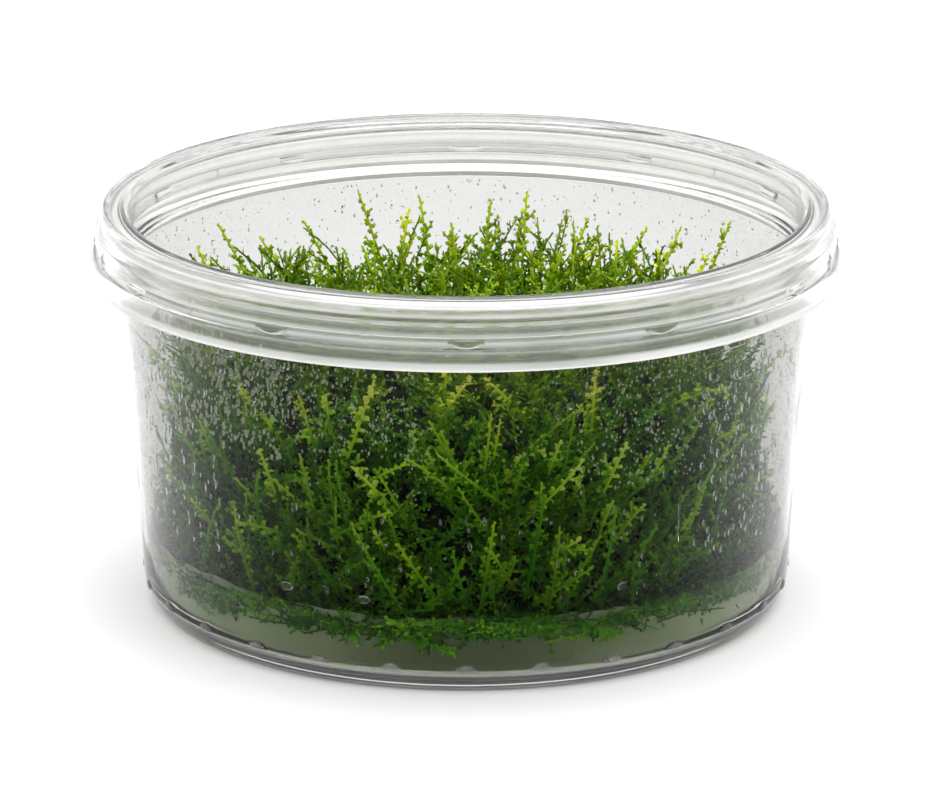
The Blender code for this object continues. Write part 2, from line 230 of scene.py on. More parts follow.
def mould_marks(radius, height, angle):
    """Lugs and ribs on the skirt's groove, and nubs on the base ring, each a small swelling."""
    def arc_from(count, offset):
        """Distance in millimetres round the wall to the nearest of a count of even marks."""
        pitch = 2 * np.pi / count
        return ((angle - offset + pitch / 2) % pitch - pitch / 2) * radius

    on_skirt = radius > SKIRT_RADIUS
    lug = half_moon(arc_from(RIM_LUGS, FRONT), LUG_TOP - height, *LUG_SIZE) * on_skirt
    rib_arc = np.abs(arc_from(RIM_LUGS, FRONT + np.pi / RIM_LUGS))
    rib = ease((RIB_HALF_WIDTH - rib_arc) / 0.3)
    rib = rib * ease((height - RIB_FOOT) / 0.2) * ease((RIB_TOP - height) / 0.2)
    on_base = (radius > BASE_RING[0]) & (radius < BASE_RING[1])
    nub = half_moon(arc_from(BASE_NUBS, FRONT), height - NUB_FOOT, *NUB_SIZE) * on_base
    return radius + LUG_RELIEF * lug + RIB_RELIEF * rib * on_skirt + NUB_RELIEF * nub, height


def flow_marks(tree, shader, spacing, strength):
    """Long faint waves that the melt leaves in the plastic's face, a given number of mm apart."""
    place = add_node(tree, "TexCoord", output="Object")
    flow = add_node(tree, "TexNoise", {"Vector": place, "Scale": 1 / (spacing * MM), "Detail": 2.0})
    bump = add_node(tree, "Bump", {"Height": flow, "Strength": strength, "Distance": 0.4 * MM})
    tree.links.new(bump, shader.inputs["Normal"])
    return place


# Clear polypropylene where the wall is thin: polished by the mould, glossy, nearly without haze.
clear_wall, tree, shader = new_material(
    "clear_polypropylene_wall", Base_Color=srgb("#e2e2e2"), Roughness=0.03, IOR=1.36,
    Transmission_Weight=1.0, Specular_Tint=srgb("#3c3c3c"),
)
flow_marks(tree, shader, 9, 0.12)

# The wall's inner face, where breath-fine condensation has settled: a pale haze that is thin low
# down and thickest under the rim and to both sides, grained by droplets too small to be modelled.
fogged_wall, tree, shader = new_material(
    "fogged_polypropylene_wall", Base_Color=srgb("#b0b0ae"), Roughness=0.03, IOR=1.36,
    Specular_Tint=srgb("#3c3c3c"),
)
place = flow_marks(tree, shader, 9, 0.12)
axes = add_node(tree, "SeparateXYZ", {"Vector": place}).node.outputs
amount = add_node(
    tree, "MapRange", {"Value": axes["Z"], "From Min": 28 * MM, "From Max": 43 * MM},
    interpolation_type="SMOOTHSTEP",
)
aside = add_node(tree, "Math", {0: axes["X"]}, operation="ABSOLUTE")
sideways = add_node(tree, "MapRange", {
    "Value": aside, "From Min": 4 * MM, "From Max": 30 * MM, "To Min": 0.45,
})
cloud = add_node(tree, "TexNoise", {"Vector": place, "Scale": 1 / (7 * MM), "Detail": 3.0})
grain = add_node(tree, "TexVoronoi", {"Vector": place, "Scale": 1 / (0.42 * MM)})
droplet = add_node(tree, "MapRange", {
    "Value": grain, "From Min": 0.42, "From Max": 0.22, "To Min": 0.55, "To Max": 1.9,
})
for factor in (sideways, cloud, droplet):
    amount = add_node(tree, "Math", {0: amount, 1: factor}, operation="MULTIPLY")
clearness = add_node(tree, "MapRange", {"Value": amount, "To Min": 1.0, "To Max": 0.87})
tree.links.new(clearness, shader.inputs["Transmission Weight"])

# The same plastic at the rim and the foot ring, where it is thick or doubled: a little softer, and
# with its full gloss.
thick_rim, tree, shader = new_material(
    "thick_polypropylene_rim", Base_Color=srgb("#eeeeec"), Roughness=0.06, IOR=1.43,
    Transmission_Weight=0.97,
)
flow_marks(tree, shader, 6, 0.08)

# The beads and edges of the rim and the foot, painted milk-white in bands: painted highlights,
# white lines round the tub where reflection and refraction draw bright lines in the clear plastic.
rim_painted_highlights, tree, shader = new_material(
    "polypropylene_rim_painted_highlights", Base_Color=srgb("#f0f0ee"), Roughness=0.08, IOR=1.43,
)
place = flow_marks(tree, shader, 6, 0.08)
up = add_node(tree, "SeparateXYZ", {"Vector": place}, output="Z")
rising = add_node(tree, "MapRange", {"Value": up, "From Max": TUB_HEIGHT * MM})
bands = add_node(tree, "ValToRGB", {"Fac": rising})
# Heights, and how much milk-white is painted on the plastic there, as painted highlights.
PAINTED_HIGHLIGHT_BANDS = (
    (0.00, 0.20), (0.45, 0.40), (0.80, 0.10), (2.60, 0.08), (2.95, 0.30), (3.20, 0.09),
    (4.30, 0.09), (45.45, 0.40), (45.75, 0.62), (46.40, 0.62), (46.75, 0.08), (47.55, 0.05),
    (47.80, 0.40), (48.05, 0.06), (48.45, 0.40), (49.00, 0.60), (49.20, 0.08), (49.70, 0.35),
    (50.00, 0.40), (50.25, 0.10), (50.75, 0.06), (50.90, 0.35), (51.05, 0.02), (51.90, 0.02),
    (52.10, 0.60), (52.40, 0.50), (52.60, 0.12), (53.00, 0.12), (53.30, 0.50), (53.80, 0.50),
    (54.10, 0.25),
)
set_stops(bands, [(height / TUB_HEIGHT, (milk, milk, milk, 1.0)) for height, milk in PAINTED_HIGHLIGHT_BANDS])
cloud = add_node(tree, "TexNoise", {"Vector": place, "Scale": 1 / (14 * MM), "Detail": 1.0})
unevenness = add_node(tree, "MapRange", {"Value": cloud, "To Min": 1.35, "To Max": 0.45})
painted_highlight_amount = add_node(tree, "Math", {0: bands, 1: unevenness}, operation="MULTIPLY", use_clamp=True)
clearness = add_node(tree, "Math", {0: 1.0, 1: painted_highlight_amount}, operation="SUBTRACT")
tree.links.new(clearness, shader.inputs["Transmission Weight"])

spots, faces = turn(TUB_SECTION, TURN_STEPS, mould_marks)
tub = new_piece("clear_tub", spots, faces, clear_wall)
for plastic in (fogged_wall, thick_rim, rim_painted_highlights):
    tub.data.materials.append(plastic)


def of_faces(piece, name):
    """One vector property of a piece's faces, as three rows."""
    values = np.empty(len(piece.data.polygons) * 3, np.float32)
    piece.data.polygons.foreach_get(name, values)
    return values.reshape(-1, 3).T


# Where each plastic lies. Fog settles above this height, and the rim and the base are thick past
# these. The painted highlights go on the skirt's outer face but for its lugs, on the foot ring's
# and on the nubs'.
FOG_FOOT = 12.0
RIM_FOOT = 45.5
BASE_THICK = 3.0
BASE_EDGE = 38.0
SKIRT_FACE = 48.3
FOOT_FACE = 41.7
NUB_FACE = (43.76, 4.4)
LUG_FACE = (49.36, 48.15)
LUG_HALF_WIDTH = 2.6

middle = of_faces(tub, "center")
normal = of_faces(tub, "normal")
height = middle[2] / MM
reach = np.hypot(middle[0], middle[1]) / MM
faces_in = middle[0] * normal[0] + middle[1] * normal[1] < 0
lug_pitch = 2 * np.pi / RIM_LUGS
from_lug = (np.arctan2(middle[1], middle[0]) - FRONT + lug_pitch / 2) % lug_pitch - lug_pitch / 2
on_lug = (np.abs(from_lug) * reach < LUG_HALF_WIDTH) & (reach > LUG_FACE[0])
on_lug &= (height > LUG_FACE[1]) & (height < LUG_TOP)
painted_highlight_faces = (height > RIM_FOOT - 0.1) & (reach > SKIRT_FACE) & ~on_lug
painted_highlight_faces |= (height < BASE_THICK + 0.2) & (reach > FOOT_FACE)
painted_highlight_faces |= (height < NUB_FACE[1]) & (reach > NUB_FACE[0])
surface = np.where(faces_in & (height > FOG_FOOT), 1, 0)
surface[(height > RIM_FOOT) | ((height < BASE_THICK) & (reach > BASE_EDGE))] = 2
surface[painted_highlight_faces & ~faces_in] = 3
tub.data.polygons.foreach_set("material_index", surface.astype(np.int32))
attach(tub, "root")
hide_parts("tub")


# The gel. Agar in nutrient broth, poured hot on the tub's floor, where it sets clear and faintly
# grey-green. It wets the wall, so its edge climbs in slow waves and thin wet tongues.

GEL_LEVEL = 9.4
GEL_BOTTOM = 1.53
GEL_EDGE = 10.35
WALL_CLEARANCE = 0.45


def wall_inside(height):
    """The tub's inner radius at a height, on the straight draft of its wall."""
    rise = (height - WALL_FOOT[1]) / (WALL_TOP[1] - WALL_FOOT[1])
    return WALL_FOOT[0] + rise * (WALL_TOP[0] - WALL_FOOT[0])


def gel_edge_height(angle):
    """Height of the gel's edge on the wall: slow waves, with scallops where it was drawn up.

    The waves are sums of sines, the scallops sines with their lower halves turned up.
    """
    slow = 0.35 * np.sin(2 * angle + 0.7) + 0.22 * np.sin(5 * angle + 2.0)
    scallop = 0.50 * np.abs(np.sin(7.5 * angle + 0.9)) + 0.30 * np.abs(np.sin(19 * angle + 0.3))
    return GEL_EDGE + slow + scallop - 0.45


GEL_SECTION = rounded([
    (0, GEL_BOTTOM, 0, 3),
    (41.2, GEL_BOTTOM, 1.0),
    (WALL_FOOT[0] - WALL_CLEARANCE, 3.7, 1.2, 10),
    (wall_inside(GEL_EDGE) - WALL_CLEARANCE, GEL_EDGE, 0.08),
    (wall_inside(GEL_EDGE) - 0.75, 9.95, 0.2),
    (wall_inside(GEL_EDGE) - 1.9, GEL_LEVEL, 0.6, 8),
    (0, GEL_LEVEL),
])


def gel_waves(radius, height, angle):
    """Stretches the gel's edge to its height at each angle, and ripples its open surface.

    The stretch fades out away from the wall and down it, and the ripples are two sines, multiplied.
    """
    near_wall = ease((radius - 40.8) / 2.2)
    above = ease((height - 6.0) / (GEL_EDGE - 6.0))
    lift = (gel_edge_height(angle) - GEL_EDGE) * near_wall * above
    on_top = (height > GEL_LEVEL - 0.05) * (1 - near_wall)
    ripple = 0.18 * np.sin(radius * 0.55 + 3 * angle) * np.sin(4 * angle + radius * 0.2)
    height = height + lift + ripple * on_top
    limit = wall_inside(np.maximum(height, WALL_FOOT[1])) - WALL_CLEARANCE
    return np.minimum(radius, limit), height


# Set agar gel: wet and turbid, a faint green that deepens with depth, cloudiest at both sides. The
# cloudier sides are painted light: they lighten where light shines through the gel's thin sides.
nutrient_gel, tree, shader = new_material(
    "nutrient_agar_gel", Base_Color=srgb("#c6daa6"), Roughness=0.03, IOR=1.34,
    Specular_Tint=srgb("#303030"),
)
place = add_node(tree, "TexCoord", output="Object")
across = add_node(tree, "SeparateXYZ", {"Vector": place}, output="X")
aside = add_node(tree, "Math", {0: across}, operation="ABSOLUTE")
cloud = add_node(tree, "TexNoise", {"Vector": place, "Scale": 1 / (9 * MM), "Detail": 2.0})
# Painted light: the gel turns cloudier, and so lighter, towards both sides.
cloud_and_painted_side_light = add_node(tree, "Math", {0: cloud, 1: 16 * MM, 2: aside}, operation="MULTIPLY_ADD")
clearness = add_node(tree, "MapRange", {
    "Value": cloud_and_painted_side_light, "From Min": 14 * MM, "From Max": 42 * MM, "To Min": 0.80, "To Max": 0.38,
})
tree.links.new(clearness, shader.inputs["Transmission Weight"])
absorb = add_node(tree, "VolumeAbsorption", {"Color": srgb("#dde8bc"), "Density": 18.0})
tree.links.new(absorb, tree.nodes["Material Output"].inputs["Volume"])

# The gel's open face has dried to a skin, which is cloudier than the gel inside.
gel_skin, tree, shader = new_material(
    "dried_gel_skin", Base_Color=srgb("#9cb070"), Roughness=0.06, IOR=1.34,
    Transmission_Weight=0.80, Specular_Tint=srgb("#303030"),
)
flow_marks(tree, shader, 5, 0.3)

GEL_STEPS = 360
spots, faces = turn(GEL_SECTION, GEL_STEPS, gel_waves)
gel = new_piece("gel_bed", spots, faces, nutrient_gel)
gel.data.materials.append(gel_skin)
gel.data.polygons.foreach_set("material_index", (of_faces(gel, "normal")[2] > 0.5).astype(np.int32))
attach(gel, "root")
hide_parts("gel")


# The old moss. Under the living shoots the stems have grown into one tangled, dark, wet mass that
# can't be parted, rooted in nothing but held by the gel round its foot.

MAT_RADIUS = 37.2
MAT_FOOT = 4.6
MAT_TOP = 32.5
MAT_ROWS = 60
MAT_STEPS = 300
# How much narrower the mass is at its foot than where it leaves the gel.
MAT_TAPER = 0.20


def narrowing(height):
    """Width of the mass at a height as a share: full above the gel, tapered to its foot."""
    return 1 - MAT_TAPER * (1 - ease((height - MAT_FOOT) / (GEL_LEVEL - MAT_FOOT)))


def as_mat(radius, up, around):
    """Radius and height of the mass from the angle, and 0 at its foot to 1 at its crown.

    Its side is a superellipse of power four, with tufts from sines at three sizes.
    """
    lean = up * np.pi / 2
    out = np.cos(lean) ** 0.5
    rise = np.sin(lean) ** 0.5
    tuft = 0.8 * np.sin(9 * around + 5 * up) * np.sin(11 * up + 2 * around)
    tuft += 0.5 * np.sin(23 * around - 13 * up) * np.sin(27 * up + 1.0)
    tuft += 0.3 * np.sin(61 * around + 31 * up) * np.sin(83 * up - 17 * around)
    height = MAT_FOOT + (MAT_TOP - MAT_FOOT + tuft) * rise
    return (MAT_RADIUS + tuft) * out * narrowing(height), height


# Old moss stems: brown-green to nearly black, matt, broken up by leaf-sized specks. The near-black is
# partly their own colour and partly painted shade, the shade of the deep gaps between the shoots.
# What is sunk in the gel is painted a pale olive, a painted light for light the gel scatters round it.
old_moss, tree, shader = new_material("old_moss_stems", Roughness=0.8, Specular_IOR_Level=0.1)
place = add_node(tree, "TexCoord", output="Object")
speck = add_node(tree, "TexNoise", {"Vector": place, "Scale": 1 / (1.1 * MM), "Detail": 3.0})
shade = add_node(tree, "ValToRGB", {"Fac": speck})
set_stops(shade, [(0.40, srgb("#040a02")), (0.70, srgb("#1c3408"))])
up = add_node(tree, "SeparateXYZ", {"Vector": place}, output="Z")
sunk = add_node(tree, "MapRange", {
    "Value": up, "From Min": (GEL_LEVEL - 0.9) * MM, "From Max": (MAT_FOOT + 0.8) * MM,
})
# The colour inputs and output of this node share their names with others, so they are numbered.
stems_with_painted_light = add_node(
    tree, "Mix", {"Factor": sunk, 6: shade, 7: srgb("#b0b494")}, output=2, data_type="RGBA",
)
tree.links.new(stems_with_painted_light, shader.inputs["Base Color"])
rough = add_node(tree, "Bump", {"Height": speck, "Strength": 0.9, "Distance": 0.6 * MM})
tree.links.new(rough, shader.inputs["Normal"])

rows = np.linspace(0, 1, MAT_ROWS)[:-1]
spots, faces = turn(np.stack([np.zeros(MAT_ROWS + 1), [0, *rows, 1]], axis=-1), MAT_STEPS, as_mat)
spots[0] = (0, 0, MAT_FOOT)
spots[-1] = (0, 0, MAT_TOP)
mat = new_piece("moss_mat", spots, faces, old_moss)
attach(mat, "root")
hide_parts("moss_cushion")


# The main shoots. Each is one thin green stem with short side lobes by turns left and right, and
# each lobe is a sprig of tiny blunt leaves. They stand where the photo shows them.

# Each main shoot by its part of the tub: tip (x, y, z) and foot (x, y), in millimetres, and how far
# its middle rises over the straight line between them.
MAIN_PLACES = {
    "front": [
        (-29.5, -29, 37.5, -23.5, -27, 0.2), (-26.5, -33, 30, -24.5, -30.5, 0),
        (-11.5, -36, 41, -20, -33.5, -0.5), (-18, -31, 37, -18.5, -29, 0),
        (-5, -29.5, 39, -2, -29, 0.3), (0.5, -37, 41, -5, -32, 0.6),
        (2.5, -35, 40.5, 10, -30.5, 0.5), (-5, -38, 31.5, -2, -37.5, 0),
        (10, -38.5, 33.5, 1, -37.5, -0.4), (-14.5, -39, 29.5, -6, -38.3, 0),
        (15, -39, 30.5, 4.5, -38.6, -0.9), (16.5, -35, 41.5, 17, -30.5, 0.3),
        (20.5, -36, 31.5, 16.8, -35, 0.5),
    ],
    "low": [
        (-11.5, -40.5, 21, -10.5, -38.1, 0.3), (14.5, -40, 20, 10.5, -38, -0.2),
        (23, -36, 23.5, 19.5, -34.3, 0.4),
    ],
    "right": [
        (34, -25.5, 36, 24, -22.5, 1), (42.4, -8, 37, 36.5, -5, 0.2),
        (36, -22.5, 30, 29.5, -22.5, 0.3), (40.8, -12, 20, 35.3, -17.5, 0.4),
        (39.5, 9.5, 37, 34, 8, 0.4),
    ],
    "left": [
        (-41.6, -12, 38, -33.5, -18, -0.3), (-36.6, 13.5, 44, -31.5, 9.5, 0.3),
        (-39.5, 2.5, 33, -36, 1.5, 0.2),
    ],
    "back": [
        (-34, 18.5, 46, -27.5, 16.5, 0.4), (-28.5, 22.5, 43, -22.5, 20.5, 0.4),
        (-22.5, 27, 44, -17, 25, 0.4), (-15, 33, 46.5, -10.5, 28.5, 0.4),
        (-6.5, 36, 45, -4.5, 31, 0.4), (3.5, 36.5, 44.5, 2, 31.5, 0.4),
        (8.5, 32.5, 46.5, 8, 27, 0.2), (17, 28.5, 44, 13.5, 24.5, 0.4), (25, 25, 43.5, 20, 21, 0.4),
        (29.5, 21.5, 44.5, 25.5, 16.5, 0.4), (36.2, 17.5, 46.5, 31, 12.5, 0.4),
    ],
    "inner": [
        (-14, 12, 44.5, -12, 9, 0.4), (13.5, 11, 44.5, 10.5, 9.5, 0.4),
        (-2, 20.5, 45.5, -1, 16.5, 0.4), (-20, -4.5, 43, -15.5, -3.5, 0.4),
        (21, -4.5, 43.5, 16, -3, 0.4), (0.5, -11.5, 44, 1, -6.5, 0.4),
    ],
}
MAIN_SHOOTS = {
    f"shoot_{part}_{number:02d}": place
    for part, places in MAIN_PLACES.items()
    for number, place in enumerate(places, start=1)
}


def unit(vectors):
    """Each row of an array of vectors at length one."""
    return vectors / np.maximum(np.linalg.norm(vectors, axis=-1, keepdims=True), 1e-9)


def along(shoots, index, share):
    """Points on the shoots' stems, and the directions along the stem, to its side and to its front.

    A stem is a quadratic curve from foot over bend to tip. Its direction is the curve's derivative.
    """
    share = share[:, None]
    foot, bend, tip = (shoots[key][index] for key in ("foot", "bend", "tip"))
    spot = foot * (1 - share) ** 2 + bend * 2 * share * (1 - share) + tip * share**2
    stem = unit((bend - foot) * (1 - share) + (tip - bend) * share)
    side = unit(np.cross(shoots["facing"][index], stem))
    return spot, stem, side, np.cross(stem, side)


def spread(count):
    """For shoots with the given numbers of marks: each mark's shoot, and its number on it."""
    index = np.repeat(np.arange(len(count)), count)
    return index, np.arange(len(index)) - np.repeat(np.cumsum(count) - count, count)


def join_shoots(*sets):
    """One set of shoots from several."""
    return {key: np.concatenate([each[key] for each in sets]) for key in sets[0]}


def lengths(shoots):
    """Each shoot's length from foot to tip."""
    return np.linalg.norm(shoots["tip"] - shoots["foot"], axis=-1)


# A twig leaves its stem at fifty degrees: the cosine and the sine of that. It starts between these
# shares of the stem, bends at this share of its own length, and turns back by the last share.
TWIG_WAY = (0.64, 0.77)
TWIG_SPAN = (0.04, 0.90)
TWIG_BEND = 0.55
TWIG_RETURN = 0.28
TWIG_GIRTH = 0.85


def add_twigs(shoots, rng, pitch, reach):
    """The shoots with their side twigs, by turns left and right, shorter towards the tip.

    A twig lies about in the plane that faces out of the clump, and bends back towards its stem.
    """
    length = lengths(shoots)
    index, number = spread(np.maximum((length / pitch).astype(int), 1))
    share = (number + rng.uniform(0.2, 0.9, len(number))) * pitch / length[index]
    share = np.clip(share, *TWIG_SPAN)
    foot, stem, side, front = along(shoots, index, share)
    side = side * np.where(number % 2, 1, -1)[:, None]
    tilt = rng.normal(0, 0.4, len(number))[:, None]
    way = unit(TWIG_WAY[0] * stem + TWIG_WAY[1] * side + tilt * front)
    size = reach * (1.15 - share) * rng.uniform(0.45, 1.25, len(number)) * shoots["girth"][index]
    twigs = {
        "foot": foot,
        "bend": foot + way * size[:, None] * TWIG_BEND,
        "tip": foot + (way + TWIG_RETURN * stem) * size[:, None],
        "facing": shoots["facing"][index],
        "girth": shoots["girth"][index] * TWIG_GIRTH,
        "youth_and_light": shoots["youth_and_light"][index] * (0.65 + 0.35 * share),
        "tone": shoots["tone"][index],
    }
    return join_shoots(shoots, twigs)


# One blunt leaf of length one, seen from its face: foot, shoulders set back, and a three-point end.
LEAF = np.array([
    (0.00, 0.00, 0.00), (-0.24, 0.40, -0.13), (-0.29, 0.86, 0.02),
    (0.00, 1.00, 0.04), (0.29, 0.84, -0.02), (0.23, 0.38, -0.12),
])
LEAF_TRIS = np.array([
    (0, 5, 4), (0, 4, 3), (0, 3, 2), (0, 2, 1), (0, 1, 5), (1, 3, 5), (1, 2, 3), (3, 4, 5),
])
# The number of the leaf's outermost point.
LEAF_TIP = 3


def copies_of(tris, count, size):
    """The triangles of a count of copies of a shape that has size points each."""
    return (np.arange(count)[:, None, None] * size + tris).reshape(-1, 3)


# A side lobe is a sprig: one leaf, a shorter one that forks from its foot, and two small ones at
# its end. Each row is how far forward a leaf starts, how far it is turned, and its size.
SPRIG_LEAVES = ((0.0, 0.0, 1.0), (0.05, -0.62, 0.66), (0.48, 0.58, 0.48), (0.55, -0.60, 0.42))


def lobe_of(count):
    """Points and triangles of a lobe from a count of the sprig's leaves."""
    leaves = []
    for start, turn_by, size in SPRIG_LEAVES[:count]:
        across = (LEAF[:, 0] * np.cos(turn_by) + LEAF[:, 1] * np.sin(turn_by)) * size
        ahead = (LEAF[:, 1] * np.cos(turn_by) - LEAF[:, 0] * np.sin(turn_by)) * size + start
        leaves.append(np.stack([across, ahead, LEAF[:, 2] * size], axis=-1))
    return np.concatenate(leaves), copies_of(LEAF_TRIS, count, len(LEAF))


WALL_GAP = 0.15
PRESSED_DEPTH = 0.22


def keep_inside(spots, gap):
    """Presses what comes near the wall or would pass it flat, by a falling exponential."""
    reach = np.hypot(spots[:, 0], spots[:, 1])
    limit = wall_inside(np.clip(spots[:, 2], WALL_FOOT[1], 45.0)) - gap
    beyond = np.maximum(reach - (limit - PRESSED_DEPTH), 0)
    pressed = limit - PRESSED_DEPTH * np.exp(-beyond / PRESSED_DEPTH)
    pull = np.where(beyond > 0, pressed / np.maximum(reach, 1e-6), 1.0)
    spots[:, :2] *= pull[:, None]
    return spots


STEM_RADIUS = 0.25
STEM_TAPER = 0.4


def stems_of(shoots, pitch, sides):
    """Thin many-sided stems, one ring at each pitch, closed at both ends.

    Gives the points, the faces, how near each point is to its shoot's tip, and its shoot.
    """
    rings = np.maximum((lengths(shoots) / pitch).astype(int), 1) + 1
    index, number = spread(rings)
    share = number / (rings[index] - 1)
    spot, stem, side, front = along(shoots, index, share)
    thick = STEM_RADIUS * shoots["girth"][index] * (1 - STEM_TAPER * share)
    turns = np.linspace(0, 2 * np.pi, sides, endpoint=False)[:, None]
    ring = np.cos(turns) * side[:, None] + np.sin(turns) * front[:, None]
    points = spot[:, None] + ring * thick[:, None, None]
    walls = ring_walls(np.nonzero(number < rings[index] - 1)[0] * sides, sides)
    first = np.nonzero(number == 0)[0][:, None] * sides + np.arange(sides)[::-1]
    last = np.nonzero(number == rings[index] - 1)[0][:, None] * sides + np.arange(sides)
    faces = [walls, np.concatenate([first, last])]
    return points.reshape(-1, 3), faces, np.repeat(share, sides), np.repeat(index, sides)


# The places round the stem that leaves take by turns, from the side on: left, right, and to both of
# them a little or well to the front and the back.
RANKS = np.array([0.0, np.pi, 0.40 * np.pi, -0.05 * np.pi, 1.05 * np.pi, -0.40 * np.pi])


def leaves_of(shoots, pitch, rng, count, size):
    """Lobes of a few leaves by turns left and right, some of them turned to the front and the back.

    Gives the points, the triangles, each point's place on its shoot, its shoot, its place in its
    leaf, and the outer ends of the leaves.
    """
    shape, shape_tris = lobe_of(count)
    length = lengths(shoots)
    index, number = spread(np.maximum((length / pitch).astype(int), 2))
    share = np.minimum((number + 0.8) * pitch / length[index], 1.0)
    spot, stem, side, front = along(shoots, index, share)
    angle = RANKS[number % len(RANKS)] + rng.normal(0, 0.30, len(number))
    out = side * np.cos(angle)[:, None] + front * np.sin(angle)[:, None]
    lean = rng.uniform(0.85, 1.25, len(number)) * (1 - 0.6 * share**4)
    ahead = unit(stem * np.cos(lean)[:, None] + out * np.sin(lean)[:, None])
    across = unit(np.cross(ahead, front + 0.35 * out + rng.normal(0, 0.2, (len(number), 3))))
    up = np.cross(across, ahead)
    grown = size * shoots["girth"][index] * rng.uniform(0.72, 1.15, len(number))
    grown *= 1 - 0.5 * share**3
    ways = [way[:, None] * shape[:, k:k + 1] for k, way in enumerate((across, ahead, up))]
    points = spot[:, None] + grown[:, None, None] * sum(ways)
    tris = copies_of(shape_tris, len(spot), len(shape))
    place = np.tile(shape[:, 1], len(spot))
    ages, indices = (np.repeat(values, len(shape)) for values in (share, index))
    return points.reshape(-1, 3), tris, ages, indices, place, points[:, LEAF_TIP]


# Living moss leaf: thin and wet. The stem's foot and old leaves are deep green, the growing tips
# yellow-green, and no two shoots have quite the same green. The pale tips are partly painted light,
# the glow of light through the thin leaves.
moss_leaf, tree, shader = new_material(
    "living_moss_leaf", Roughness=0.34, IOR=1.40, Specular_IOR_Level=0.14,
)
growth = add_node(tree, "Attribute", attribute_name="growth")
young_and_lit, tone, light = add_node(tree, "SeparateColor", {"Color": growth}).node.outputs
green = add_node(tree, "ValToRGB", {"Fac": young_and_lit})
LEAF_GREENS = (
    (0.00, "#0e2403"), (0.28, "#3c740a"), (0.52, "#70aa12"), (0.80, "#aad426"), (1.00, "#c4de66"),
)
set_stops(green, [(youth_and_light, srgb(code)) for youth_and_light, code in LEAF_GREENS])
hue = add_node(tree, "MapRange", {"Value": tone, "To Min": 0.487, "To Max": 0.513}, clamp=False)
# Painted light: the lightness lifts the value, most at the ends of leaves, a painted highlight.
value = add_node(tree, "MapRange", {"Value": light, "To Min": 0.80, "To Max": 1.6})
toned = add_node(tree, "HueSaturation", {"Color": green, "Hue": hue, "Value": value})
tree.links.new(toned, shader.inputs["Base Color"])

leaf_ends = []
# How light a stem is beside its leaves, and the youth at which the colour is the palest.
STEM_LIGHT = 0.62
FULL_YOUTH = 1.25


def grow(name, shoots, rng, twigs, count, size, pitch, sides, ring_pitch, gap=WALL_GAP):
    """One piece of moss: shoots with twigs, and lobes of a count of leaves, all with their colours.

    The growth attribute holds how new a point's growth is, its shoot's tone and its lightness, which
    is highest at the ends of leaves, a painted highlight. Youth rises by a power of the place on the
    shoot and of the place in the leaf, and the leaf ends are painted paler as painted highlights. High
    up a point is painted lighter, a painted light from the open top, and its green turns yellower.
    """
    shoots = add_twigs(shoots, rng, *twigs)
    stem_points, stem_faces, stem_age, stem_index = stems_of(shoots, ring_pitch, sides)
    leaves = leaves_of(shoots, pitch, rng, count, size)
    leaf_points, tris, leaf_age, leaf_index, place, ends = leaves
    points = keep_inside(np.concatenate([stem_points, leaf_points]), gap)
    faces = [*stem_faces, tris + len(stem_points)]
    piece = new_piece(name, points, faces, moss_leaf, smooth=False)
    age = np.concatenate([stem_age, leaf_age])
    index = np.concatenate([stem_index, leaf_index])
    place = np.clip(np.concatenate([np.full(len(stem_points), STEM_LIGHT), place]), 0, 1)
    # Each leaf is darker at its foot and lighter at its end, a painted highlight.
    light = 0.25 + 0.75 * place
    youth_and_light = shoots["youth_and_light"][index]
    # The pale leaf ends are painted highlights, and the lift with height is painted light from the
    # open top.
    young_and_lit = youth_and_light * (0.50 + 0.50 * age**1.3) + 0.34 * place**4 * (0.25 + 0.75 * youth_and_light)
    young_and_lit *= 0.90 + 0.20 * ease((points[:, 2] - 10) / 25)
    tone = shoots["tone"][index] - 2.0 * ease((points[:, 2] - 30) / 12)
    colour = np.stack([young_and_lit / FULL_YOUTH, tone, light, np.ones(len(points))], axis=-1)
    layer = piece.data.color_attributes.new("growth", "FLOAT_COLOR", "POINT")
    layer.data.foreach_set("color", colour.astype(np.float32).ravel())
    leaf_ends.append(keep_inside(ends, gap))
    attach(piece, "root")
    return piece


def outward(spots):
    """The level direction away from the tub's axis at each point."""
    return unit(spots * np.array((1.0, 1.0, 0.0)))


CLUMP_RADIUS = 40.0
CLUMP_FOOT = 11.3
CLUMP_RISE = 26.5


def clump_height(x, y):
    """Height of the clump over a point of the floor: a dome whose side is steep.

    The rise is the square root of one minus the fourth power of the share of the radius.
    """
    share = np.clip(np.hypot(x, y) / CLUMP_RADIUS, 0, 1)
    return CLUMP_FOOT + CLUMP_RISE * (1 - share**4) ** 0.5


def set_of(rows, seed, youth_and_light):
    """A set of shoots from rows of tip (x, y, z), foot (x, y, z) and the rise of the middle.

    Youth is the middle of the range it is drawn from.
    """
    tip, foot, rise = np.split(np.array(rows, float), (3, 6), axis=1)
    bend = (foot + tip) / 2
    bend[:, 2] += 2 * rise[:, 0]
    rng = np.random.default_rng(seed)
    return {
        "foot": foot,
        "bend": bend,
        "tip": tip,
        "facing": unit(outward(tip) * 0.6 + np.array((0, -0.8, 0.25))),
        "girth": np.full(len(rows), 1.0),
        "youth_and_light": youth_and_light + rng.uniform(-0.08, 0.08, len(rows)),
        "tone": rng.uniform(0.2, 0.8, len(rows)),
    }


# How deep a main shoot's foot is sunk in the mass, and at what share of its place on the floor.
FOOT_DEPTH = 1.2
FOOT_SHARE = 0.94


